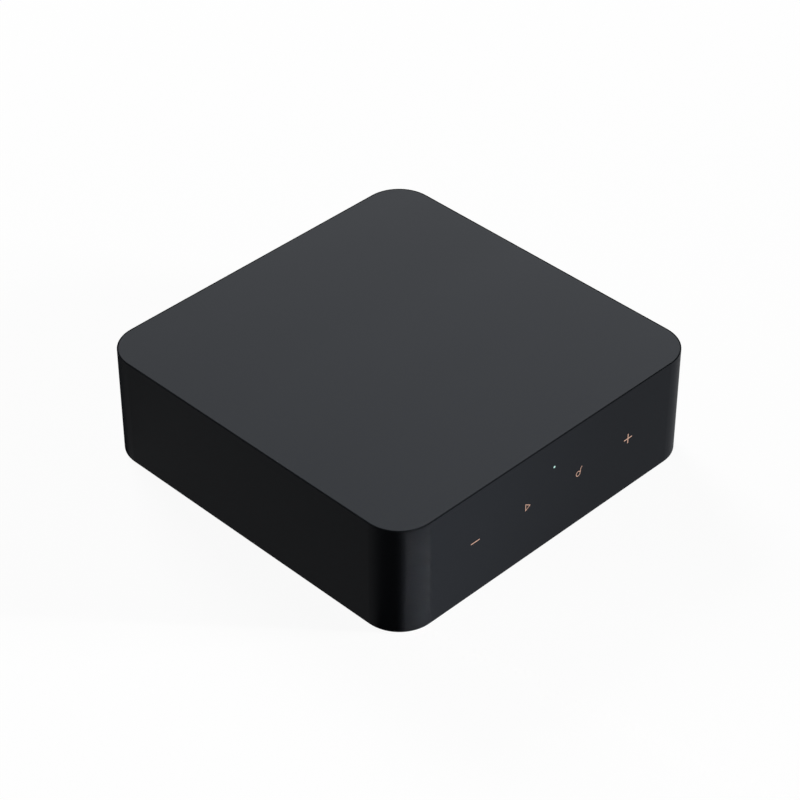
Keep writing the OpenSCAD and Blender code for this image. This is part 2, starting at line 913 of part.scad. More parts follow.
module board_screws() {
    color(screw_steel)
        at_board_screws()
            screw(board_z1, false, board_screw_r, board_screw_l, board_head_r, board_head_h);
}

// Panel in the rear window, lapped behind the wall, with a cut-out for every socket
module rear_panel() {
    c = socket_clear;
    color(plain_black)
        difference() {
            union() {
                block([-panel_w / 2, rear_in_y, foot_drop], [panel_w / 2, rear_y, panel_top]);
                difference() {
                    union() {
                        block([-panel_w / 2, lap_y0, base_top_z + panel_gap],
                            [panel_w / 2, rear_in_y + root, panel_top]);
                        block([-window_w / 2 - lap, lap_y0, base_top_z + panel_gap],
                            [window_w / 2 + lap, lap_y0 + lap_t, window_top + lap]);
                    }
                    block([-panel_w / 2 + panel_rim, lap_y0 - cut, foot_drop],
                        [panel_w / 2 - panel_rim, rear_in_y, panel_rim_z]);
                }
            }
            along_y(rear_in_y - cut, rear_y + cut) {
                translate([power_x, board_z1 + power_h / 2])
                    stadium(power_w + 2 * c, power_h + 2 * c);
                translate([ethernet_x - ethernet_w / 2 - c, board_z1 - c])
                    square([ethernet_w + 2 * c, ethernet_h + 2 * c]);
                translate([trigger_x, trigger_z])
                    circle(trigger_collar_r + c);
                for (x = [optical_out_x, optical_in_x])
                    translate([x - optical_w / 2 - c, board_z1 - c])
                        square([optical_w + 2 * c, optical_h + 2 * c]);
                for (p = phono_places)
                    translate(p)
                        circle(neck_r + c);
            }
        }
}

module minus_mark() {
    color(mark_copper)
        inlay(-1.5 * mark_pitch, mark_depth, mark_proud)
            minus_shape(0);
}

module play_mark() {
    color(mark_copper)
        inlay(-0.5 * mark_pitch, mark_depth, mark_proud)
            play_shape(0);
}

module preset_mark() {
    color(mark_copper)
        inlay(0.5 * mark_pitch, mark_depth, mark_proud)
            preset_shape(0);
}

module plus_mark() {
    color(mark_copper)
        inlay(1.5 * mark_pitch, mark_depth, mark_proud)
            plus_shape(0);
}

// Clear lens in the wall with a head that gathers the light behind it
module light_pipe() {
    color(light_teal) {
        y_rod(0, light_z, light_r, front_y - mark_proud, front_in_y - light_pocket + root);
        y_rod(0, light_z, light_head_r, front_in_y - light_pocket, touch_y - led_t - seat_clear);
    }
}

module status_led() {
    color(jack_white)
        block([-led_w / 2, touch_y - led_t, light_z - led_h / 2],
            [led_w / 2, touch_y, light_z + led_h / 2]);
}

// Outline shared by the touch board and its tape, with the two peg holes
module touch_outline() {
    difference() {
        translate([-touch_w / 2, touch_z0])
            square([touch_w, touch_h]);
        for (s = [-1, 1])
            translate([s * peg_x, peg_z])
                circle(peg_r + peg_clear);
    }
}

module touch_board() {
    color(board_green)
        along_y(touch_y, touch_back_y)
            touch_outline();
}

module touch_board_tape() {
    color(ribbon_white)
        along_y(front_in_y, touch_y)
            difference() {
                touch_outline();
                translate([0, light_z])
                    circle(light_pocket_r);
            }
}

module touch_board_connector() {
    color(jack_white)
        difference() {
            block([-connector_w / 2, touch_back_y, touch_connector_z],
                [connector_w / 2, touch_back_y + connector_t, touch_connector_z + connector_l]);
            block([-ribbon_w / 2 - seat_clear, ribbon_y - ribbon_t / 2 - seat_clear,
                touch_connector_z - cut],
                [ribbon_w / 2 + seat_clear, ribbon_y + ribbon_t / 2 + seat_clear,
                touch_connector_z + connector_slot]);
        }
}

module main_board_connector() {
    color(jack_white)
        difference() {
            block([-connector_w / 2, main_connector_y, board_z1],
                [connector_w / 2, main_connector_y + connector_l, board_z1 + connector_t]);
            block([-ribbon_w / 2 - seat_clear, main_connector_y - cut,
                ribbon_z - ribbon_t / 2 - seat_clear],
                [ribbon_w / 2 + seat_clear, main_connector_y + connector_slot,
                ribbon_z + ribbon_t / 2 + seat_clear]);
        }
}

// Flat ribbon: down from the touch board's connector, then back to the main board's
module ribbon() {
    bend_at = [ribbon_y + ribbon_bend, ribbon_z + ribbon_bend];
    color(ribbon_white)
        along_x(0, ribbon_w) {
            translate([ribbon_y - ribbon_t / 2, bend_at[1]])
                square([ribbon_t, touch_connector_z + ribbon_in - bend_at[1]]);
            translate(bend_at)
                intersection() {
                    difference() {
                        circle(ribbon_bend + ribbon_t / 2);
                        circle(ribbon_bend - ribbon_t / 2);
                    }
                    translate([-2 * ribbon_bend, -2 * ribbon_bend])
                        square(2 * ribbon_bend);
                }
            translate([bend_at[0], ribbon_z - ribbon_t / 2])
                square([main_connector_y + ribbon_in - bend_at[0], ribbon_t]);
        }
}

// Main board, cut away round the rear bosses
module main_board() {
    color(board_green)
        difference() {
            block([-board_w / 2, board_y0, board_z0], [board_w / 2, board_y1, board_z1]);
            at_bosses()
                translate([0, 0, board_z0 - cut])
                    cylinder(h = board_t + 2 * cut, r = boss_r + board_notch);
            at_board_screws()
                translate([0, 0, board_z0 - cut])
                    cylinder(h = board_t + 2 * cut, r = board_screw_r + seat_clear);
        }
}

// Box of the given size standing on z with its middle at x and y
module standing(x, y, z, size) {
    translate([x - size[0] / 2, y - size[1] / 2, z])
        cube(size);
}

module module_board() {
    color(board_green)
        standing(module_x, module_y, board_z1, [module_w, module_d, module_t]);
}

module module_shield() {
    color(tin)
        translate([module_x, module_y, module_z1])
            soft_slab(shield_w, shield_d, shield_corner, shield_h, shield_edge);
}

module heat_pad() {
    color(pad_grey)
        standing(module_x, module_y, heat_pad_z, [heat_pad_w, heat_pad_w, heat_pad_t]);
}

// Extruded heat sink: a base with upright fins
module heat_sink() {
    step = (sink_w - fin_t) / (fin_count - 1);
    color(aluminium)
        along_y(module_y - sink_w / 2, module_y + sink_w / 2) {
            translate([module_x - sink_w / 2, sink_z])
                square([sink_w, sink_base]);
            for (i = [0:fin_count - 1])
                translate([module_x - sink_w / 2 + i * step, sink_z])
                    square([fin_t, sink_h]);
        }
}

module converter_chips() {
    color(chip_black) {
        standing(line_out_x + chip_side, board_y1 - chip_back, board_z1, [chip_w, chip_w, chip_t]);
        standing(line_in_x + chip_side, board_y1 - chip_back, board_z1,
            [0.8 * chip_w, 0.8 * chip_w, chip_t]);
    }
}

module clock_oscillators() {
    color(tin)
        for (x = [line_out_x + chip_side, line_in_x + chip_side])
            translate([x, board_y1 - clock_back, board_z1])
                soft_slab(clock_w, clock_d, clock_corner, clock_h, clock_edge);
}

module ethernet_transformer() {
    color(chip_black)
        standing(ethernet_x, socket_y - ethernet_l - transformer_back, board_z1,
            [transformer_w, transformer_d, transformer_h]);
}

module power_inductors() {
    color(chip_black)
        for (i = [0, 1])
            translate([power_x - inductor_side,
                socket_y - power_l - inductor_back - inductor_pitch * i, board_z1]) {
                linear_extrude(coil_block_h)
                    round_rect(coil_block_w, coil_block_w, inductor_corner);
                cylinder(h = coil_block_h + winding_proud, r = 0.38 * coil_block_w);
            }
}

// Upright capacitors with a square foot and a rolled groove
module filter_capacitors() {
    color(aluminium)
        for (x = [line_out_x, line_in_x, coax_x], row = [0, 1])
            translate([x, phono_body_y - phono_l - cap_back - cap_pitch * row, board_z1])
                difference() {
                    union() {
                        standing(0, 0, 0, [2 * (cap_r + cap_border), 2 * (cap_r + cap_border),
                            cap_foot_t]);
                        cylinder(h = cap_h, r = cap_r);
                    }
                    translate([0, 0, cap_groove_z])
                        rotate_extrude()
                            translate([cap_r + cap_groove_out, 0])
                                circle(cap_groove_r);
                }
}

// Antenna patch on a side wall, with the block where its lead is soldered
module antenna(side) {
    x = side * (case_w / 2 - wall);
    color(copper_skin)
        translate([x, module_y, 0])
            rotate(side > 0 ? 180 : 0) {
                block([0, -antenna_l / 2, antenna_z],
                    [antenna_t, antenna_l / 2, antenna_z + antenna_h]);
                block([antenna_t, -feed_w / 2, feed_z],
                    [antenna_t + feed_t, feed_w / 2, feed_z + feed_h]);
            }
}

module antenna_left() {
    antenna(-1);
}

module antenna_right() {
    antenna(1);
}

// Lead from the module's plug, level at first, then up to the underside of the antenna's feed
function curve(a, b, c, d, t) = pow(1 - t, 3) * a + 3 * pow(1 - t, 2) * t * b
    + 3 * (1 - t) * pow(t, 2) * c + pow(t, 3) * d;
function lead_path(side) =
    let (start = [module_x + side * (plug_x + plug_w / 2), module_y, module_z1 + plug_h / 2],
        finish = [side * (case_w / 2 - wall - antenna_t - feed_t / 2), module_y, feed_z],
        a = start + [side * lead_start, 0, 0],
        d = finish - [0, 0, lead_start],
        level = 0.7 * abs(d[0] - a[0]))
    concat([start], [for (i = [0:lead_steps])
        curve(a, a + [side * level, 0, lead_lift], d - [0, 0, lead_rise], d, i / lead_steps)],
        [finish]);

module antenna_left_lead() {
    color(chip_black)
        wire(lead_path(-1), lead_r, [0, 1, 0], 8);
}

module antenna_right_lead() {
    color(chip_black)
        wire(lead_path(1), lead_r, [0, 1, 0], 8);
}

module antenna_plugs() {
    color(gold)
        for (s = [-1, 1])
            standing(module_x + s * plug_x, module_y, module_z1, [plug_w, plug_w, plug_h]);
}

// Drawn steel shell of the power socket, open to the rear
module power_socket_shell() {
    color(tin)
        translate([power_x, 0, board_z1 + power_h / 2])
            along_y(socket_y - power_l, socket_y)
                difference() {
                    stadium(power_w, power_h);
                    stadium(power_w - 2 * power_sheet, power_h - 2 * power_sheet);
                }
}

// Plastic back and contact tongue inside the power socket
module power_socket_tongue() {
    inner = 2 * power_sheet + 2 * seat_clear;
    back_y = socket_y - power_l + tongue_back;
    color(plain_black)
        translate([power_x, 0, board_z1 + power_h / 2]) {
            along_y(socket_y - power_l, back_y)
                stadium(power_w - inner, power_h - inner);
            block([-tongue_w / 2, back_y - root, -tongue_t / 2],
                [tongue_w / 2, socket_y - tongue_recess, tongue_t / 2]);
        }
}

// Stepped outline of the Ethernet plug's opening, grown by g
module ethernet_mouth(g) {
    translate([-ethernet_mouth_w / 2 - g, mouth_z0 - g])
        square([ethernet_mouth_w + 2 * g, ethernet_mouth_h + 2 * g]);
    translate([-latch_w / 2 - g, mouth_z0 - latch_h - g])
        square([latch_w + 2 * g, latch_h + 2 * g]);
    translate([-catch_w / 2 - g, latch_z - g])
        square([catch_w + 2 * g, catch_h + 2 * g]);
}

// Folded sheet round the Ethernet socket, open below
module ethernet_shield() {
    s = ethernet_sheet;
    color(tin)
        translate([ethernet_x, 0, 0])
            difference() {
                block([-ethernet_w / 2, socket_y - ethernet_l, board_z1],
                    [ethernet_w / 2, socket_y, board_z1 + ethernet_h]);
                block([-ethernet_w / 2 + s, socket_y - ethernet_l + s, board_z1 - cut],
                    [ethernet_w / 2 - s, socket_y - s, board_z1 + ethernet_h - s]);
                along_y(socket_y - 2 * s, socket_y + cut)
                    ethernet_mouth(mouth_grow);
            }
}

module ethernet_insert() {
    s = ethernet_sheet + seat_clear;
    color(plain_black)
        translate([ethernet_x, 0, 0])
            difference() {
                block([-ethernet_w / 2 + s, socket_y - ethernet_l + s, board_z1],
                    [ethernet_w / 2 - s, socket_y - s, board_z1 + ethernet_h - s]);
                along_y(socket_y - mouth_depth, socket_y + cut)
                    ethernet_mouth(0);
            }
}

// Eight spring wires that hang from the roof of the plug opening
module ethernet_contacts() {
    y0 = socket_y - ethernet_sheet - wire_start;
    low_z = mouth_z1 - wire_t - wire_drop;
    color(gold)
        for (i = [-3.5:1:3.5])
            along_x(ethernet_x + i * wire_pitch, wire_w)
                polygon([[y0, mouth_z1], [y0, mouth_z1 - wire_t],
                    [y0 - wire_flat, mouth_z1 - wire_t], [y0 - wire_reach, low_z],
                    [y0 - wire_reach, low_z + wire_t], [y0 - wire_flat, mouth_z1]]);
}

// Trigger socket: a block on the board with a collar through the panel and one bore
module trigger_jack_body() {
    color(plain_black)
        difference() {
            union() {
                block([trigger_x - trigger_w / 2, trigger_body_y - trigger_l, board_z1],
                    [trigger_x + trigger_w / 2, trigger_body_y, board_z1 + trigger_h]);
                y_rod(trigger_x, trigger_z, trigger_collar_r, trigger_body_y - root, socket_y);
            }
            y_rod(trigger_x, trigger_z, trigger_bore_r, socket_y - trigger_bore_l,
                socket_y + cut);
            for (s = [-1, 1])
                terminal_slot(s, seat_clear, cut);
        }
}

// Flat terminal on one side of the trigger socket, or the slot it lies in
module terminal_slot(side, g, over) {
    x1 = side * (trigger_w / 2 + over);
    x0 = side * (trigger_w / 2 - terminal_t - g);
    y = trigger_body_y - trigger_l / 2;
    block([min(x0, x1) + trigger_x, y - terminal_w / 2 - g, board_z1 - over],
        [max(x0, x1) + trigger_x, y + terminal_w / 2 + g, board_z1 + 0.7 * trigger_h + g]);
}

module trigger_jack_contacts() {
    color(tin)
        for (s = [-1, 1])
            terminal_slot(s, 0, 0);
}

// Optical socket's housing: plug cavity behind a lip, hinge holes, and a pocket for the light part
module optical_housing(x) {
    side = optical_w / 2 - optical_wall;
    m = optical_mouth_w / 2;
    color(plain_black)
        translate([x, 0, 0])
            difference() {
                block([-optical_w / 2, socket_y - optical_l, board_z1],
                    [optical_w / 2, socket_y, board_z1 + optical_h]);
                block([-side, cavity_y, board_z1 + optical_floor],
                    [side, socket_y - optical_lip, roof_z]);
                along_y(socket_y - optical_lip - cut, socket_y + cut)
                    polygon([[-m, optical_mouth_top], [m, optical_mouth_top],
                        [m, optical_mouth_z + mouth_chamfer], [m - mouth_chamfer, optical_mouth_z],
                        [-m + mouth_chamfer, optical_mouth_z], [-m, optical_mouth_z + mouth_chamfer]]);
                x_rod(0, hinge_y, hinge_z, pin_r + 0.02, optical_w + 2 * cut);
                block([-spring_w / 2 - spring_slot, hinge_y - spring_r - spring_slot, roof_z - cut],
                    [-spring_w / 2 + spring_slot, hinge_y - spring_r + spring_slot,
                    hinge_z + spring_up + 0.05]);
                block([-side, socket_y - optical_l - cut, board_z1 + optical_floor],
                    [side, cavity_y - eye_wall, roof_z]);
                y_rod(0, eye_z, eye_r, cavity_y - eye_wall - cut, cavity_y + cut);
            }
}

// Spring-shut flap hung from a pin at its upper edge
module optical_shutter(x) {
    side = shutter_w / 2;
    color(plain_black)
        translate([x, hinge_y, hinge_z])
            difference() {
                union() {
                    block([-side, knuckle_r - shutter_t, -shutter_l], [side, knuckle_r, 0]);
                    x_rod(0, 0, 0, knuckle_r, shutter_w);
                }
                block([-knuckle_gap, -knuckle_r - cut, -knuckle_r - 0.05],
                    [knuckle_gap, knuckle_r + cut, knuckle_r + cut]);
                x_rod(0, 0, 0, pin_r + pin_clear, shutter_w + 2 * cut);
            }
}

module optical_pin(x) {
    color(screw_steel)
        x_rod(x, hinge_y, hinge_z, pin_r, optical_w - 0.2);
}

// Spring wire: a leg up into the roof, full turns round the pin, a leg down behind the flap
function spring_path(x) =
    let (left = -spring_w / 2, steps = spring_turns * spring_steps, back = -spring_r,
        tip = knuckle_r - shutter_t - spring_wire_r - 0.06,
        turns = [for (i = [0:steps]) let (a = 180 + 360 * i / spring_steps)
            [left + spring_w * i / steps, spring_r * cos(a), spring_r * sin(a)]],
        all = concat([[left, back, spring_up], [left, back, 0.3]], turns,
            [[-left, back, -0.3], [-left, tip, -spring_down]]))
    [for (p = all) p + [x, hinge_y, hinge_z]];

module optical_spring(x) {
    color(screw_steel)
        wire(spring_path(x), spring_wire_r, [1, 0, 0], 6);
}

// Least gap between neighbouring turns of a shutter spring, measured on its points
coil = [for (i = [0:spring_turns * spring_steps]) spring_path(0)[i + 2]];
echo(least_spring_gap = min([for (i = [0:len(coil) - 1], j = [0:len(coil) - 1])
    if (j - i > spring_steps / 2) norm(coil[j] - coil[i])]) - 2 * spring_wire_r);

// Block behind the optical socket with a lens in the housing's eye
module optical_light_part(x) {
    side = optical_w / 2 - optical_wall - seat_clear;
    front = cavity_y - eye_wall - seat_clear;
    translate([x, 0, 0]) {
        block([-side, socket_y - optical_l, board_z1 + optical_floor + seat_clear],
            [side, front, roof_z - seat_clear]);
        y_rod(0, eye_z, lens_r, front - root, cavity_y - 0.2);
    }
}

module optical_out_housing() {
    optical_housing(optical_out_x);
}

module optical_out_shutter() {
    optical_shutter(optical_out_x);
}

module optical_out_pin() {
    optical_pin(optical_out_x);
}

module optical_out_spring() {
    optical_spring(optical_out_x);
}

module optical_out_emitter() {
    color(jack_red)
        optical_light_part(optical_out_x);
}

module optical_in_housing() {
    optical_housing(optical_in_x);
}

module optical_in_shutter() {
    optical_shutter(optical_in_x);
}

module optical_in_pin() {
    optical_pin(optical_in_x);
}

module optical_in_spring() {
    optical_spring(optical_in_x);
}

module optical_in_detector() {
    color(chip_black)
        optical_light_part(optical_in_x);
}

// Body of one phono socket, or of two stacked ones, with a neck through the panel for each
module phono_housing(x, axes, top) {
    color(plain_black)
        difference() {
            union() {
                block([x - phono_w / 2, phono_body_y - phono_l, board_z1],
                    [x + phono_w / 2, phono_body_y, top]);
                for (z = axes)
                    y_rod(x, z, neck_r, phono_body_y - root, rear_y);
            }
            for (z = axes)
                y_rod(x, z, tail_r + seat_clear, rear_y - tail_l - seat_clear, rear_y + cut);
        }
}

module coax_jack_housing() {
    phono_housing(coax_x, [phono_z1], phono_z1 + phono_head);
}

module line_in_housing() {
    phono_housing(line_in_x, [phono_z1, phono_z2], stack_top);
}

module line_out_housing() {
    phono_housing(line_out_x, [phono_z1, phono_z2], stack_top);
}

// Turned barrel: tail in the body, flange on the neck, and the tube that the plug grips
module phono_barrel(place) {
    inner_r = barrel_r - barrel_t;
    lead_in = 0.3;
    turned_rear(place[0], place[1])
        polygon([[tail_r - tail_t, rear_y - tail_l], [tail_r, rear_y - tail_l], [tail_r, rear_y],
            [barrel_flange_r, rear_y], [barrel_flange_r, barrel_y0], [barrel_r, barrel_y0],
            [barrel_r, barrel_y1 - lead_in], [barrel_r - lead_in, barrel_y1],
            [inner_r, barrel_y1], [inner_r, rear_y + 0.4], [tail_r - tail_t, rear_y + 0.4]]);
}

module coax_barrel() {
    color(gold)
        phono_barrel(phono_places[0]);
}

module line_barrels() {
    color(gold)
        for (i = [1:4])
            phono_barrel(phono_places[i]);
}

// Plastic core of a barrel, bored for the centre contact
module phono_insulator(place) {
    front = barrel_y1 - insulator_recess;
    shoulder = rear_y + 0.4 + seat_clear;
    back = rear_y - tail_l;
    wide = barrel_r - barrel_t - seat_clear;
    narrow = tail_r - tail_t - seat_clear;
    step = barrel_y1 - contact_recess;
    hole = contact_r + seat_clear;
    mouth = contact_bore_r + contact_mouth;
    turned_rear(place[0], place[1])
        polygon([[hole, back], [narrow, back], [narrow, shoulder], [wide, shoulder],
            [wide, front - 0.3], [wide - 0.3, front], [mouth + mouth_flare, front],
            [mouth, front - mouth_flare], [mouth, step], [hole, step]]);
}

module coax_insulator() {
    color(jack_orange)
        phono_insulator(phono_places[0]);
}

// White cores mark the left channel, which is the upper socket of each pair
module left_insulators() {
    color(jack_white)
        for (i = [2, 4])
            phono_insulator(phono_places[i]);
}

module right_insulators() {
    color(jack_red)
        for (i = [1, 3])
            phono_insulator(phono_places[i]);
}

// Centre contacts: a tube that takes the plug's pin, closed by a tail behind it
module phono_contacts() {
    y1 = barrel_y1 - contact_recess - seat_clear;
    back = rear_y - tail_l;
    color(gold)
        for (place = phono_places)
            difference() {
                y_rod(place[0], place[1], contact_r, back, y1);
                y_rod(place[0], place[1], contact_bore_r, y1 - contact_l, y1 + cut);
            }
}

body_shell();
top_cover();
base_cover();
rear_panel();
foot_pad();
base_screws();
board_screws();
minus_mark();
play_mark();
preset_mark();
plus_mark();
light_pipe();
status_led();
touch_board();
touch_board_tape();
touch_board_connector();
ribbon();
main_board_connector();
main_board();
module_board();
module_shield();
heat_pad();
heat_sink();
converter_chips();
clock_oscillators();
ethernet_transformer();
power_inductors();
filter_capacitors();
antenna_left();
antenna_right();
antenna_left_lead();
antenna_right_lead();
antenna_plugs();
power_socket_shell();
power_socket_tongue();
ethernet_shield();
ethernet_insert();
ethernet_contacts();
trigger_jack_body();
trigger_jack_contacts();
optical_out_housing();
optical_out_shutter();
optical_out_pin();
optical_out_spring();
optical_out_emitter();
optical_in_housing();
optical_in_shutter();
optical_in_pin();
optical_in_spring();
optical_in_detector();
coax_jack_housing();
line_in_housing();
line_out_housing();
coax_barrel();
line_barrels();
coax_insulator();
left_insulators();
right_insulators();
phono_contacts();
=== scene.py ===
"""Looks of the network music streamer.

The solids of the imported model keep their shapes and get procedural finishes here. One small piece
is added, the contact strips of the power socket's tongue. Everything is in metres, in the frame of
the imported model: +Z is up and the front wall faces -Y.
"""

import math

import bpy
import numpy as np
from mathutils import Matrix, Vector


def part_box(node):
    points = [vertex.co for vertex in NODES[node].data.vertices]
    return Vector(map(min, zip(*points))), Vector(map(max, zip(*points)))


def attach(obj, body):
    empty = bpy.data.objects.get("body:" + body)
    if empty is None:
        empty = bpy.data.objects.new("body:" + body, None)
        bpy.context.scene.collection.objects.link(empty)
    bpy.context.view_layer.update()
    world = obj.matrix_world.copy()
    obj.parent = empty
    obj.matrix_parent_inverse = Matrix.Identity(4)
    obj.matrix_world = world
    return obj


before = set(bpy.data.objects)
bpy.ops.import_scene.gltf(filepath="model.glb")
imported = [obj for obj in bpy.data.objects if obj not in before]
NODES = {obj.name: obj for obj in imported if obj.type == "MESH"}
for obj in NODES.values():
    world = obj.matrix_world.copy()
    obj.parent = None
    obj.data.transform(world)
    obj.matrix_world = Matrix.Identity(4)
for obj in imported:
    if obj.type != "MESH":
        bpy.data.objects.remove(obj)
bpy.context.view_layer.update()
MM = 0.001


# Shader building

class Net:
    """Adds nodes to one node tree and joins them; a value is either a number, a colour or a socket."""

    def __init__(self, tree):
        self.tree = tree

    def feed(self, socket, value):
        """Joins a socket to another one, or sets its number or colour."""
        if isinstance(value, bpy.types.NodeSocket):
            self.tree.links.new(value, socket)
        else:
            socket.default_value = value

    def node(self, kind, inputs=None, **settings):
        """Adds a node; its inputs go by name or by number."""
        made = self.tree.nodes.new("ShaderNode" + kind)
        for key, value in settings.items():
            setattr(made, key, value)
        for key, value in (inputs or {}).items():
            self.feed(made.inputs[key], value)
        return made

    def math(self, operation, *values, clamp=False):
        made = self.node("Math", dict(enumerate(values)), operation=operation, use_clamp=clamp)
        return made.outputs[0]

    def vector(self, operation, *values):
        """Outputs of a vector operation: Vector, or Value where it gives a number."""
        return self.node("VectorMath", dict(enumerate(values)), operation=operation).outputs

    def scaled(self, colour, factor):
        made = self.node("VectorMath", {0: colour, "Scale": factor}, operation="SCALE")
        return made.outputs["Vector"]

    def mix(self, factor, a, b):
        """Colour from a to b; 6, 7 and 2 are the Mix node's own sockets for colours."""
        made = self.node("Mix", {0: factor, 6: a, 7: b}, data_type="RGBA")
        return made.outputs[2]

    def ramp(self, value, low, high, to_low=0.0, to_high=1.0, course="SMOOTHSTEP"):
        """Value that goes from to_low to to_high while the given one goes from low to high."""
        made = self.node("MapRange", {0: value, 1: low, 2: high, 3: to_low, 4: to_high},
                         interpolation_type=course)
        return made.outputs[0]

    def choose(self, switch, off, on):
        """The value off where the switch is 0, and on where it is 1."""
        return self.ramp(switch, 0.0, 1.0, off, on, "LINEAR")

    def place(self):
        return self.node("TexCoord").outputs["Object"]

    def noise(self, at, scale, detail=2.0):
        made = self.node("TexNoise", {"Vector": at, "Scale": scale, "Detail": detail})
        return made.outputs[0]

    def streaks(self, at, pace, detail):
        """Noise that runs at its own pace along X, Y and Z."""
        return self.noise(self.vector("MULTIPLY", at, pace)["Vector"], 1.0, detail)

    def cells(self, at, scale):
        """Distance from the middle of the nearest of many packed cells."""
        return self.node("TexVoronoi", {"Vector": at, "Scale": scale}).outputs["Distance"]


COLOUR_LABELS = ("Colour", "Edge", "Second")


def socket_kind(label):
    return "NodeSocketColor" if label in COLOUR_LABELS else "NodeSocketFloat"


def new_group(name, inputs, outputs):
    """A shader group with named inputs and outputs: its net, its inputs and its outputs by name."""
    tree = bpy.data.node_groups.new(name, "ShaderNodeTree")
    for label, usual in inputs.items():
        socket = tree.interface.new_socket(label, in_out="INPUT", socket_type=socket_kind(label))
        socket.default_value = usual
    for label in outputs:
        tree.interface.new_socket(label, in_out="OUTPUT", socket_type=socket_kind(label))
    source = tree.nodes.new("NodeGroupInput")
    sink = tree.nodes.new("NodeGroupOutput")
    return Net(tree), source.outputs, sink.inputs


def empty_material(name):
    """A material without nodes, and its net."""
    material = bpy.data.materials.new(name)
    material.use_nodes = True
    net = Net(material.node_tree)
    net.tree.nodes.clear()
    return material, net


# Patterns of the finishes

GREY = (0.1, 0.1, 0.1, 1.0)
GRAINED = {"Colour": GREY, "Tone": 0.1, "Grain": 3000.0, "Rough": 0.5, "Spread": 0.1}
LOOK = ("Colour", "Roughness", "Height")
# Value round which every noise and cell pattern varies
PATTERN_MIDDLE = 0.5


def vary(net, given, out, cloud, fine, cloud_share, gloss):
    """Varies the tone by a cloud and a fine pattern, and the roughness by a gloss pattern.

    The shares of cloud and fine add up to 1, and their blend multiplies the colour by 1 plus or minus
    Tone at most. The roughness is Rough plus or minus half of Spread at most."""
    centred = net.math("MULTIPLY_ADD", fine, 1.0 - cloud_share, -PATTERN_MIDDLE)
    blend = net.math("MULTIPLY_ADD", cloud, cloud_share, centred)
    swing = net.math("DIVIDE", given["Tone"], PATTERN_MIDDLE)
    gain = net.math("MULTIPLY_ADD", blend, swing, 1.0)
    net.feed(out["Colour"], net.scaled(given["Colour"], gain))
    around = net.math("SUBTRACT", gloss, PATTERN_MIDDLE)
    net.feed(out["Roughness"], net.math("MULTIPLY_ADD", around, given["Spread"], given["Rough"]))


def moulded_skin():
    """Moulded plastic: fine grain, a broad cloudiness in tone, and gloss that varies with the grain."""
    cloud_scale, cloud_detail, cloud_share = 34.0, 3.0, 0.6
    net, given, out = new_group("moulded_skin", GRAINED, LOOK)
    at = net.place()
    grain = net.noise(at, given["Grain"])
    cloud = net.noise(at, cloud_scale, cloud_detail)
    vary(net, given, out, cloud, grain, cloud_share, gloss=grain)
    net.feed(out["Height"], grain)
    return net.tree


def blasted_satin():
    """Bead-blasted satin: packed dimples, a faint cloud, and wiped patches that change the gloss."""
    cloud_scale, cloud_detail, cloud_share = 22.0, 4.0, 0.7
    wipe_pace, wipe_detail = (9.0, 30.0, 9.0), 3.0
    net, given, out = new_group("blasted_satin", GRAINED, LOOK)
    at = net.place()
    dimples = net.cells(at, given["Grain"])
    cloud = net.noise(at, cloud_scale, cloud_detail)
    wiped = net.streaks(at, wipe_pace, wipe_detail)
    vary(net, given, out, cloud, dimples, cloud_share, gloss=wiped)
    net.feed(out["Height"], dimples)
    return net.tree


def pebbled_rubber():
    """Rubber with a pebbled skin: rounded cells with soft valleys that hold a little pale dust."""
    valley_start, valley_end = 0.35, 0.75
    dust_scale, dust_detail, dust_rough = 60.0, 3.0, 0.12
    net, given, out = new_group(
        "pebbled_rubber", {"Colour": GREY, "Second": GREY, "Grain": 1000.0, "Rough": 0.8}, LOOK)
    at = net.place()
    pebbles = net.cells(at, given["Grain"])
    valley = net.ramp(pebbles, valley_start, valley_end)
    dust = net.math("MULTIPLY", valley, net.noise(at, dust_scale, dust_detail))
    net.feed(out["Colour"], net.mix(dust, given["Colour"], given["Second"]))
    net.feed(out["Roughness"], net.math("MULTIPLY_ADD", valley, dust_rough, given["Rough"]))
    net.feed(out["Height"], net.math("SUBTRACT", 1.0, pebbles))
    return net.tree


def worked_metal():
    """Worked metal: streaks drawn out in the direction along which the pattern runs slowest."""
    streak_detail = 3.0
    cloud_scale, cloud_detail, cloud_share = 140.0, 3.0, 0.5
    net, given, out = new_group(
        "worked_metal",
        {"Colour": GREY, "Tone": 0.1, "Along X": 4000.0, "Along Y": 200.0, "Along Z": 4000.0,
         "Rough": 0.3, "Spread": 0.15}, LOOK)
    at = net.place()
    pace = net.node("CombineXYZ", {0: given["Along X"], 1: given["Along Y"], 2: given["Along Z"]})
    streak = net.streaks(at, pace.outputs[0], streak_detail)
    cloud = net.noise(at, cloud_scale, cloud_detail)
    vary(net, given, out, cloud, streak, cloud_share, gloss=streak)
    net.feed(out["Height"], streak)
    return net.tree


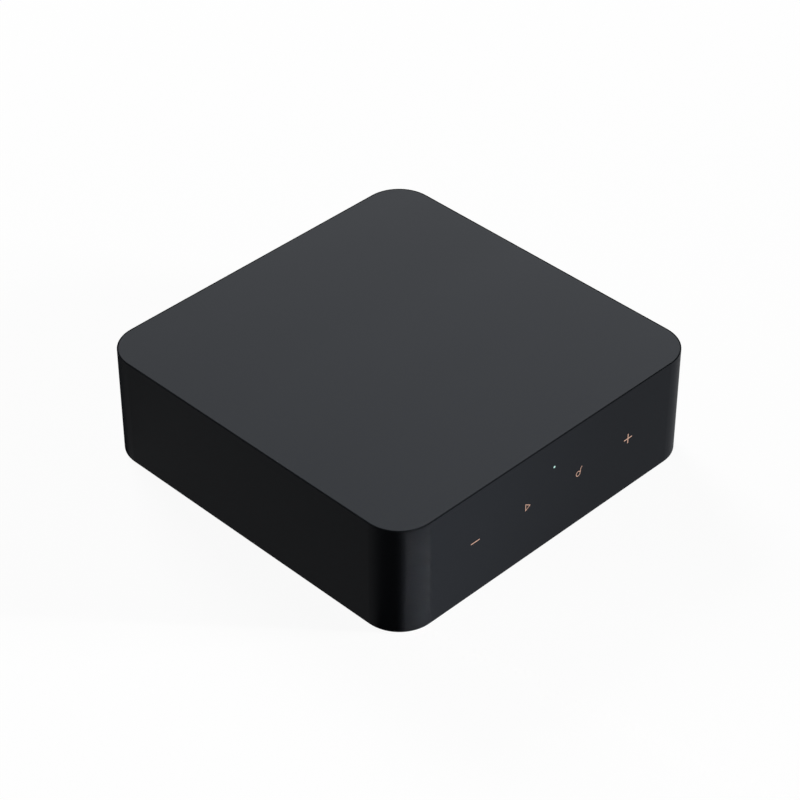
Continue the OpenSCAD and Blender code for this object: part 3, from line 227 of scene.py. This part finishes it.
def board_mask():
    """Circuit board: lacquer over fine and wide square-cornered tracks, with tinned holes strewn in."""
    fine_tracks = {"Scale": 620.0, "Mortar Size": 0.05, "Brick Width": 2.3, "Row Height": 0.55}
    wide_tracks = {"Scale": 150.0, "Mortar Size": 0.05, "Brick Width": 1.7, "Row Height": 0.9}
    hole_scale, hole_size, hole_rough = 210.0, 0.11, -0.15
    net, given, out = new_group(
        "board_mask", {"Colour": GREY, "Edge": GREY, "Second": GREY, "Rough": 0.4}, LOOK)
    at = net.place()
    fine = net.node("TexBrick", {"Vector": at, **fine_tracks}).outputs["Fac"]
    wide = net.node("TexBrick", {"Vector": at, **wide_tracks}).outputs["Fac"]
    track = net.math("MAXIMUM", fine, wide)
    hole = net.math("LESS_THAN", net.cells(at, hole_scale), hole_size)
    lacquer = net.mix(track, given["Colour"], given["Edge"])
    net.feed(out["Colour"], net.mix(hole, lacquer, given["Second"]))
    net.feed(out["Roughness"], net.math("MULTIPLY_ADD", hole, hole_rough, given["Rough"]))
    net.feed(out["Height"], net.math("MAXIMUM", track, hole))
    return net.tree


def striped_film():
    """Flat ribbon: conductors one pitch apart along X that show through a clear film."""
    wire_core, wire_edge, wire_rough = 0.2, 0.3, -0.1
    net, given, out = new_group(
        "striped_film", {"Colour": GREY, "Second": GREY, "Pitch": 0.5 * MM, "Rough": 0.4}, LOOK)
    x = net.node("SeparateXYZ", {0: net.place()}).outputs[0]
    phase = net.math("FRACT", net.math("DIVIDE", x, given["Pitch"]))
    off_middle = net.math("ABSOLUTE", net.math("SUBTRACT", phase, 0.5))
    wire = net.ramp(off_middle, wire_core, wire_edge, 1.0, 0.0)
    net.feed(out["Colour"], net.mix(wire, given["Colour"], given["Second"]))
    net.feed(out["Roughness"], net.math("MULTIPLY_ADD", wire, wire_rough, given["Rough"]))
    net.feed(out["Height"], wire)
    return net.tree


def lens_glow():
    """Light pipe along Y: brightest on its axis and deeper in colour towards the rim."""
    core, rim = 0.35, 1.05
    core_rough, rim_rough = 0.2, 0.15
    net, given, out = new_group(
        "lens_glow", {"Colour": GREY, "Edge": GREY, "Height of axis": 0.0, "Radius": MM},
        ("Colour", "Roughness"))
    axis = net.node("CombineXYZ", {2: given["Height of axis"]}).outputs[0]
    off_axis = net.vector("SUBTRACT", net.place(), axis)["Vector"]
    flat = net.vector("MULTIPLY", off_axis, (1.0, 0.0, 1.0))["Vector"]
    far = net.vector("LENGTH", flat)["Value"]
    share = net.ramp(net.math("DIVIDE", far, given["Radius"]), core, rim)
    net.feed(out["Colour"], net.mix(share, given["Colour"], given["Edge"]))
    net.feed(out["Roughness"], net.math("MULTIPLY_ADD", share, rim_rough, core_rough))
    return net.tree


SKIN = moulded_skin()
SATIN = blasted_satin()
PEBBLE = pebbled_rubber()
METAL = worked_metal()
BOARD = board_mask()
FILM = striped_film()
GLOW = lens_glow()


def finish(name, pattern, given, depth=0.0, strength=0.3, glow=0.0, **constants):
    """Principled material fed by a pattern group; depth is the relief in millimetres.

    constants are numbers of the shader's own sockets, with _ for each space in their names."""
    material, net = empty_material(name)
    shader = net.node("BsdfPrincipled")
    for key, value in constants.items():
        shader.inputs[key.replace("_", " ")].default_value = value
    group = net.node("Group", node_tree=pattern)
    for key, value in given.items():
        group.inputs[key].default_value = (*value, 1.0) if isinstance(value, tuple) else value
    net.feed(shader.inputs["Base Color"], group.outputs["Colour"])
    net.feed(shader.inputs["Roughness"], group.outputs["Roughness"])
    if glow:
        net.feed(shader.inputs["Emission Color"], group.outputs["Colour"])
        shader.inputs["Emission Strength"].default_value = glow
    if depth:
        relief = net.node("Bump", {"Strength": strength, "Distance": depth * MM,
                                   "Height": group.outputs["Height"]})
        net.feed(shader.inputs["Normal"], relief.outputs[0])
    net.node("OutputMaterial", {"Surface": shader.outputs[0]})
    return material


def skin(name, colour, rough, tone=0.08, grain=3000.0, spread=0.1, depth=0.01, **more):
    """Plastic finish with the grain of a moulding."""
    given = {"Colour": colour, "Tone": tone, "Grain": grain, "Rough": rough, "Spread": spread}
    return finish(name, SKIN, given, depth, **more)


def metal(name, colour, rough, along=(4000.0, 200.0, 4000.0), tone=0.08, spread=0.15,
          depth=0.004, **more):
    """Metal finish; along is the pace of its streaks along X, Y and Z."""
    given = {"Colour": colour, "Tone": tone, "Along X": along[0], "Along Y": along[1],
             "Along Z": along[2], "Rough": rough, "Spread": spread}
    return finish(name, METAL, given, depth, Metallic=1.0, **more)


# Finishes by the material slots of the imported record

# Pace of the streaks on pieces that are turned about an axis along Y
TURNED = (260.0, 14000.0, 260.0)
LENS_LOW, LENS_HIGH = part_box("light_pipe")
LENS_AXIS = (LENS_LOW[2] + LENS_HIGH[2]) / 2
LENS_RADIUS = 0.45 * MM
RIBBON_PITCH = 0.5 * MM
FINISHES = {
    "case_black": skin("case_black", (0.0125, 0.0140, 0.0170), 0.45, grain=5200.0, depth=0.004,
                       strength=0.15, IOR=1.085),
    "top_satin": finish("top_satin", SATIN,
                        {"Colour": (0.0032, 0.0036, 0.0042), "Tone": 0.04, "Grain": 4200.0,
                         "Rough": 0.42, "Spread": 0.05}, 0.008, 0.2, IOR=1.66,
                        Specular_Tint=(0.78, 0.86, 1.0, 1.0)),
    "base_black": skin("base_black", (0.012, 0.012, 0.0128), 0.62, grain=2400.0, depth=0.03),
    "panel_black": skin("panel_black", (0.011, 0.0118, 0.0132), 0.55, tone=0.2, grain=2600.0,
                        depth=0.06, strength=0.7, IOR=1.2),
    "pad_rubber": finish("pad_rubber", PEBBLE,
                         {"Colour": (0.010, 0.010, 0.010), "Second": (0.035, 0.034, 0.032),
                          "Grain": 1100.0, "Rough": 0.78}, 0.08, 0.5),
    "screw_steel": metal("screw_steel", (0.42, 0.42, 0.44), 0.32, along=(900.0, 900.0, 5200.0)),
    "mark_copper": metal("mark_copper", (0.72, 0.45, 0.34), 0.42, along=(2600.0, 2600.0, 900.0),
                         tone=0.05),
    "light_lens": finish("light_lens", GLOW,
                         {"Colour": (0.46, 0.72, 0.66), "Edge": (0.20, 0.36, 0.32),
                          "Height of axis": LENS_AXIS, "Radius": LENS_RADIUS}, glow=0.2,
                         Specular_IOR_Level=0.2),
    "led_white": skin("led_white", (0.82, 0.80, 0.62), 0.35),
    "board_green": finish("board_green", BOARD,
                          {"Colour": (0.008, 0.045, 0.028), "Edge": (0.016, 0.085, 0.05),
                           "Second": (0.55, 0.54, 0.50), "Rough": 0.38}, 0.03, 0.4),
    "tape_white": skin("tape_white", (0.70, 0.70, 0.67), 0.7, grain=1500.0, depth=0.02),
    "connector_white": skin("connector_white", (0.72, 0.70, 0.62), 0.45),
    "ribbon_white": finish("ribbon_white", FILM,
                           {"Colour": (0.76, 0.77, 0.80), "Second": (0.48, 0.50, 0.54),
                            "Pitch": RIBBON_PITCH, "Rough": 0.38}, 0.03, 0.4),
    "tin": metal("tin", (0.62, 0.61, 0.59), 0.27, along=(5200.0, 420.0, 5200.0)),
    "heat_pad": skin("heat_pad", (0.20, 0.26, 0.36), 0.8, grain=1800.0, depth=0.03),
    "aluminium": metal("aluminium", (0.72, 0.73, 0.75), 0.36, along=(3600.0, 120.0, 3600.0)),
    "chip_black": skin("chip_black", (0.014, 0.014, 0.015), 0.58, grain=4200.0, depth=0.015),
    "antenna_copper": metal("antenna_copper", (0.68, 0.36, 0.22), 0.34, along=(200.0, 900.0, 900.0)),
    "lead_black": skin("lead_black", (0.012, 0.012, 0.013), 0.5, grain=2600.0),
    "gold": metal("gold", (0.86, 0.60, 0.25), 0.2, along=TURNED, tone=0.06, spread=0.12,
                  depth=0.006),
    "socket_black": skin("socket_black", (0.009, 0.009, 0.0095), 0.42, grain=3400.0, depth=0.012,
                         IOR=1.3),
    "shutter_black": skin("shutter_black", (0.012, 0.012, 0.0125), 0.36, grain=3400.0, IOR=1.3),
    "spring_steel": metal("spring_steel", (0.52, 0.52, 0.53), 0.3, along=(5000.0, 5000.0, 5000.0)),
    "emitter_red": skin("emitter_red", (0.40, 0.02, 0.02), 0.25, Transmission_Weight=0.2),
    "detector_dark": skin("detector_dark", (0.016, 0.012, 0.018), 0.22),
    "jack_orange": skin("jack_orange", (0.78, 0.22, 0.02), 0.3, tone=0.05),
    "jack_white": skin("jack_white", (0.80, 0.80, 0.77), 0.3, tone=0.03),
    "jack_red": skin("jack_red", (0.52, 0.016, 0.018), 0.3, tone=0.05),
}

for solid in NODES.values():
    for place in solid.material_slots:
        slot_name = place.material.name.split(".")[0]
        place.material = FINISHES[slot_name]


# Contact strips of the power socket

def contact_strips():
    """Twelve contact strips on each face of the power socket's tongue.

    A strip is a flat oval profile carried along Y. Its point at angle u and station v is the strip's
    centre plus half the width times cos u across, half the thickness times sin u upwards and half
    the length times sin v along. Across and upwards shrink by the fourth root of 1 - sin(v)^8, which
    rounds the two ends. Strip i lies (i - 5.5) pitches from the middle, above or below the tongue."""
    count, pitch = 12, 0.5 * MM
    half_width, half_thickness, half_length = 0.13 * MM, 0.04 * MM, 1.625 * MM
    # Height of a strip's middle from the tongue's, just inside its face, and the gap at its tip
    level, tip_gap = 0.34 * MM, 0.35 * MM
    angle_count, station_count, end_share = 12, 9, 0.98
    low, high = (np.array(corner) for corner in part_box("power_socket_tongue"))
    middle = (low + high) / 2
    angles = np.linspace(0.0, 2 * np.pi, angle_count, endpoint=False)
    stations = np.linspace(-end_share, end_share, station_count) * np.pi / 2
    shrink = (1.0 - np.sin(stations) ** 8) ** 0.25
    side, place, v, u = np.meshgrid((-1.0, 1.0), np.arange(count) - (count - 1) / 2,
                                    np.arange(station_count), np.arange(angle_count), indexing="ij")
    x = middle[0] + place * pitch + half_width * np.cos(angles)[u] * shrink[v]
    y = high[1] - tip_gap - half_length + half_length * np.sin(stations)[v]
    z = middle[2] + side * level + half_thickness * np.sin(angles)[u] * shrink[v]
    points = np.stack((x, y, z), axis=-1).reshape(-1, 3)
    grid = np.arange(len(points)).reshape(-1, station_count, angle_count)
    onward = np.roll(grid, -1, axis=2)
    walls = np.stack((grid[:, :-1], grid[:, 1:], onward[:, 1:], onward[:, :-1]), axis=-1)
    ends = np.concatenate((grid[:, 0], grid[:, -1, ::-1]))
    mesh = bpy.data.meshes.new("power_contact_strips")
    mesh.from_pydata(points.tolist(), [], walls.reshape(-1, 4).tolist() + ends.tolist())
    mesh.materials.append(FINISHES["gold"])
    strips = bpy.data.objects.new("power_contact_strips", mesh)
    bpy.context.collection.objects.link(strips)
    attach(strips, "case")


contact_strips()


# Stage: pale floor with two black cards that paint dark reflections on the case, pale sky, four lamps,
# and the photograph's camera

WHITE = (1.0, 1.0, 1.0, 1.0)
BLACK = (0.0, 0.0, 0.0, 1.0)
# Half the side of the floor, and the heights of the floor and of the cards, just under the foot pad
FLOOR_HALF = 8.0
FLOOR_Z = -0.02 * MM
CARD_Z = -0.01 * MM
# Tone of the floor's paper, and its tone for the light that it throws back on the object
FLOOR_TONE = 0.9
FLOOR_BOUNCE = 0.22
# Share of plain white in what is seen of the floor; the rest shows the object's shadow
FLOOR_WHITE = 0.94
# Level of the sky as fill light, and the lowest level of its mirror image
AMBIENT = 0.08
SKY_DIM = 0.3
CASE_LOW, CASE_HIGH = (Vector(corner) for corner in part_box("body_shell"))
CASE_MIDDLE = (0.0, 0.0, CASE_HIGH.z / 2)


def towards(azimuth, elevation):
    """Unit vector to a place round the object; azimuth 0 is straight in front and 90 is on the right."""
    a, e = math.radians(azimuth), math.radians(elevation)
    return Vector((math.sin(a) * math.cos(e), -math.cos(a) * math.cos(e), math.sin(e)))


def facing(aim, azimuth, elevation, distance):
    """Place and turn of a lamp or camera that faces its aim from a distance, with its top edge level."""
    back = towards(azimuth, elevation)
    turn = back.to_track_quat("Z", "Y").to_matrix().to_4x4()
    return Matrix.Translation(Vector(aim) + back * distance) @ turn


def seen_directly(net):
    """1 for rays from the camera, from mirror-like surfaces and through clear ones, otherwise 0."""
    path = net.node("LightPath").outputs
    seen = net.math("ADD", path["Is Camera Ray"], path["Is Glossy Ray"])
    return net.math("ADD", seen, path["Is Transmission Ray"], clamp=True)


def stage_piece(name, outline, z, material):
    """Flat piece of the stage at height z, facing up, whose outline runs anticlockwise."""
    points = np.column_stack((outline, np.full(len(outline), z)))
    mesh = bpy.data.meshes.new(name)
    mesh.from_pydata(points.tolist(), [], [tuple(range(len(points)))])
    mesh.materials.append(material)
    piece = bpy.data.objects.new(name, mesh)
    bpy.context.collection.objects.link(piece)
    return piece


def pale_floor():
    """Square of pale paper that is seen as white, with a share of its own shading for the shadow."""
    corners = np.array(((-1, -1), (1, -1), (1, 1), (-1, 1))) * FLOOR_HALF
    material, net = empty_material("floor_paper")
    material.cycles.emission_sampling = "NONE"
    bounce = net.node("LightPath").outputs["Is Diffuse Ray"]
    tone = net.choose(bounce, FLOOR_TONE, FLOOR_BOUNCE)
    grey = net.node("CombineColor", {0: tone, 1: tone, 2: tone}).outputs[0]
    paper = net.node("BsdfDiffuse", {"Color": grey})
    white = net.node("Emission", {"Color": WHITE, "Strength": 1.0})
    share = net.math("MULTIPLY", seen_directly(net), FLOOR_WHITE)
    shown = net.node("MixShader", {0: share, 1: paper.outputs[0], 2: white.outputs[0]})
    net.node("OutputMaterial", {"Surface": shown.outputs[0]})
    stage_piece("floor", corners, FLOOR_Z, material)


def painted_reflection_card(name, apex, first, last):
    """Black card that paints a dark reflection on the case: a wedge on the floor, from its apex under
    the case out to an arc.

    A point of the arc lies at azimuth a, from first to last, at (sin a, -cos a) times the reach from
    the apex. The card takes no light and no place in the picture: it shows only in the case's sheen,
    where it paints a dark band."""
    reach, arc_points = 0.3, 9
    azimuths = np.radians(np.linspace(first, last, arc_points))
    arc = np.stack((np.sin(azimuths), -np.cos(azimuths)), axis=1) * reach + apex
    material, net = empty_material(name)
    black = net.node("BsdfDiffuse", {"Color": BLACK})
    net.node("OutputMaterial", {"Surface": black.outputs[0]})
    card = stage_piece(name, np.vstack((apex, arc)), CARD_Z, material)
    # Only mirror-like rays see the card, so it paints a dark reflection and nothing else
    card.visible_camera = False
    card.visible_diffuse = False
    card.visible_transmission = False
    card.visible_shadow = False


def painted_reflection_cards():
    """Cards that paint dark reflections on the left half of the near corner and on the left outline of
    the case.
    """
    near_inset, left_inset, left_from_rear = 8.7 * MM, 0.3 * MM, 10.7 * MM
    near_apex = (CASE_LOW.x + near_inset, CASE_LOW.y + near_inset)
    left_apex = (CASE_LOW.x + left_inset, CASE_HIGH.y - left_from_rear)
    # Painted dark reflections: one in the near corner, one along the left outline
    painted_reflection_card("near_painted_reflection", near_apex, first=-104.0, last=-37.0)
    painted_reflection_card("left_painted_reflection", left_apex, first=-225.0, last=-163.0)


def soft_sky():
    """White surroundings, weaker as fill light; their mirror image dims away from the rear right.

    The mirror image goes from SKY_DIM to 1 while the cosine of the angle from the brightest direction
    goes from dim_cosine to bright_cosine."""
    brightest = towards(115.0, -15.0)
    dim_cosine, bright_cosine = 0.39, 0.67
    world = bpy.data.worlds.new("studio")
    world.use_nodes = True
    world.cycles.sampling_method = "NONE"
    net = Net(world.node_tree)
    net.tree.nodes.clear()
    direction = net.node("TexCoord").outputs["Generated"]
    cosine = net.vector("DOT_PRODUCT", direction, brightest)["Value"]
    graded = net.ramp(cosine, dim_cosine, bright_cosine, SKY_DIM, 1.0, "LINEAR")
    shown = net.choose(net.node("LightPath").outputs["Is Camera Ray"], graded, 1.0)
    level = net.choose(seen_directly(net), AMBIENT, shown)
    sky = net.node("Background", {"Color": WHITE, "Strength": level})
    net.node("OutputWorld", {"Surface": sky.outputs[0]})
    bpy.context.scene.world = world


def hang_lamp(data, aim, azimuth, elevation, distance):
    """Hangs a lamp at a distance from the point that it aims at.

    Lamps light the object without showing in its mirror-like surfaces, which show the pale studio."""
    lamp = bpy.data.objects.new(data.name, data)
    lamp.matrix_world = facing(aim, azimuth, elevation, distance)
    lamp.visible_camera = False
    lamp.visible_glossy = False
    bpy.context.collection.objects.link(lamp)


def softbox(name, width, power, azimuth, elevation, distance):
    """Large square lamp that is aimed at the middle of the case."""
    data = bpy.data.lights.new(name, "AREA")
    data.shape = "SQUARE"
    data.size = width
    data.energy = power
    hang_lamp(data, CASE_MIDDLE, azimuth, elevation, distance)


def corner_light():
    """Soft spot beside the near corner, which fades along the front wall towards its far end."""
    aside = 0.04
    data = bpy.data.lights.new("corner_light", "SPOT")
    data.energy = 86.0
    data.shadow_soft_size = 0.03
    data.spot_size = math.radians(8.4)
    data.spot_blend = 1.0
    aim = (CASE_LOW.x - aside, CASE_LOW.y, CASE_MIDDLE[2])
    hang_lamp(data, aim, azimuth=43.0, elevation=14.0, distance=1.5)


def strip_light():
    """Narrow upright strip that brightens the right half of the near corner."""
    from_left, from_front = 9.6 * MM, 0.6 * MM
    data = bpy.data.lights.new("strip_light", "AREA")
    data.shape = "RECTANGLE"
    data.size = 7.1 * MM
    data.size_y = 90.0 * MM
    data.spread = math.radians(0.6)
    data.color = (1.0, 0.92, 0.80)
    data.energy = 0.0024
    aim = (CASE_LOW.x + from_left, CASE_LOW.y + from_front, CASE_MIDDLE[2])
    hang_lamp(data, aim, azimuth=10.0, elevation=3.0, distance=0.3)


def photo_camera():
    """Camera above the near corner, with the photograph's viewing angle and focal length."""
    aim = Vector((2.791, 2.369, 16.370)) * MM
    data = bpy.data.cameras.new("camera")
    data.sensor_width = 36.0
    data.lens = 119.835
    data.clip_start = 0.01
    camera = bpy.data.objects.new("camera", data)
    camera.matrix_world = facing(aim, azimuth=-45.0544, elevation=38.3092, distance=0.9)
    bpy.context.collection.objects.link(camera)
    bpy.context.scene.camera = camera


pale_floor()
painted_reflection_cards()
soft_sky()
softbox("key_light", width=0.6, power=58.0, azimuth=43.0, elevation=15.0, distance=2.4)
softbox("back_light", width=0.8, power=40.0, azimuth=160.0, elevation=28.0, distance=2.0)
corner_light()
strip_light()
photo_camera()
bpy.context.scene.view_settings.view_transform = "Standard"
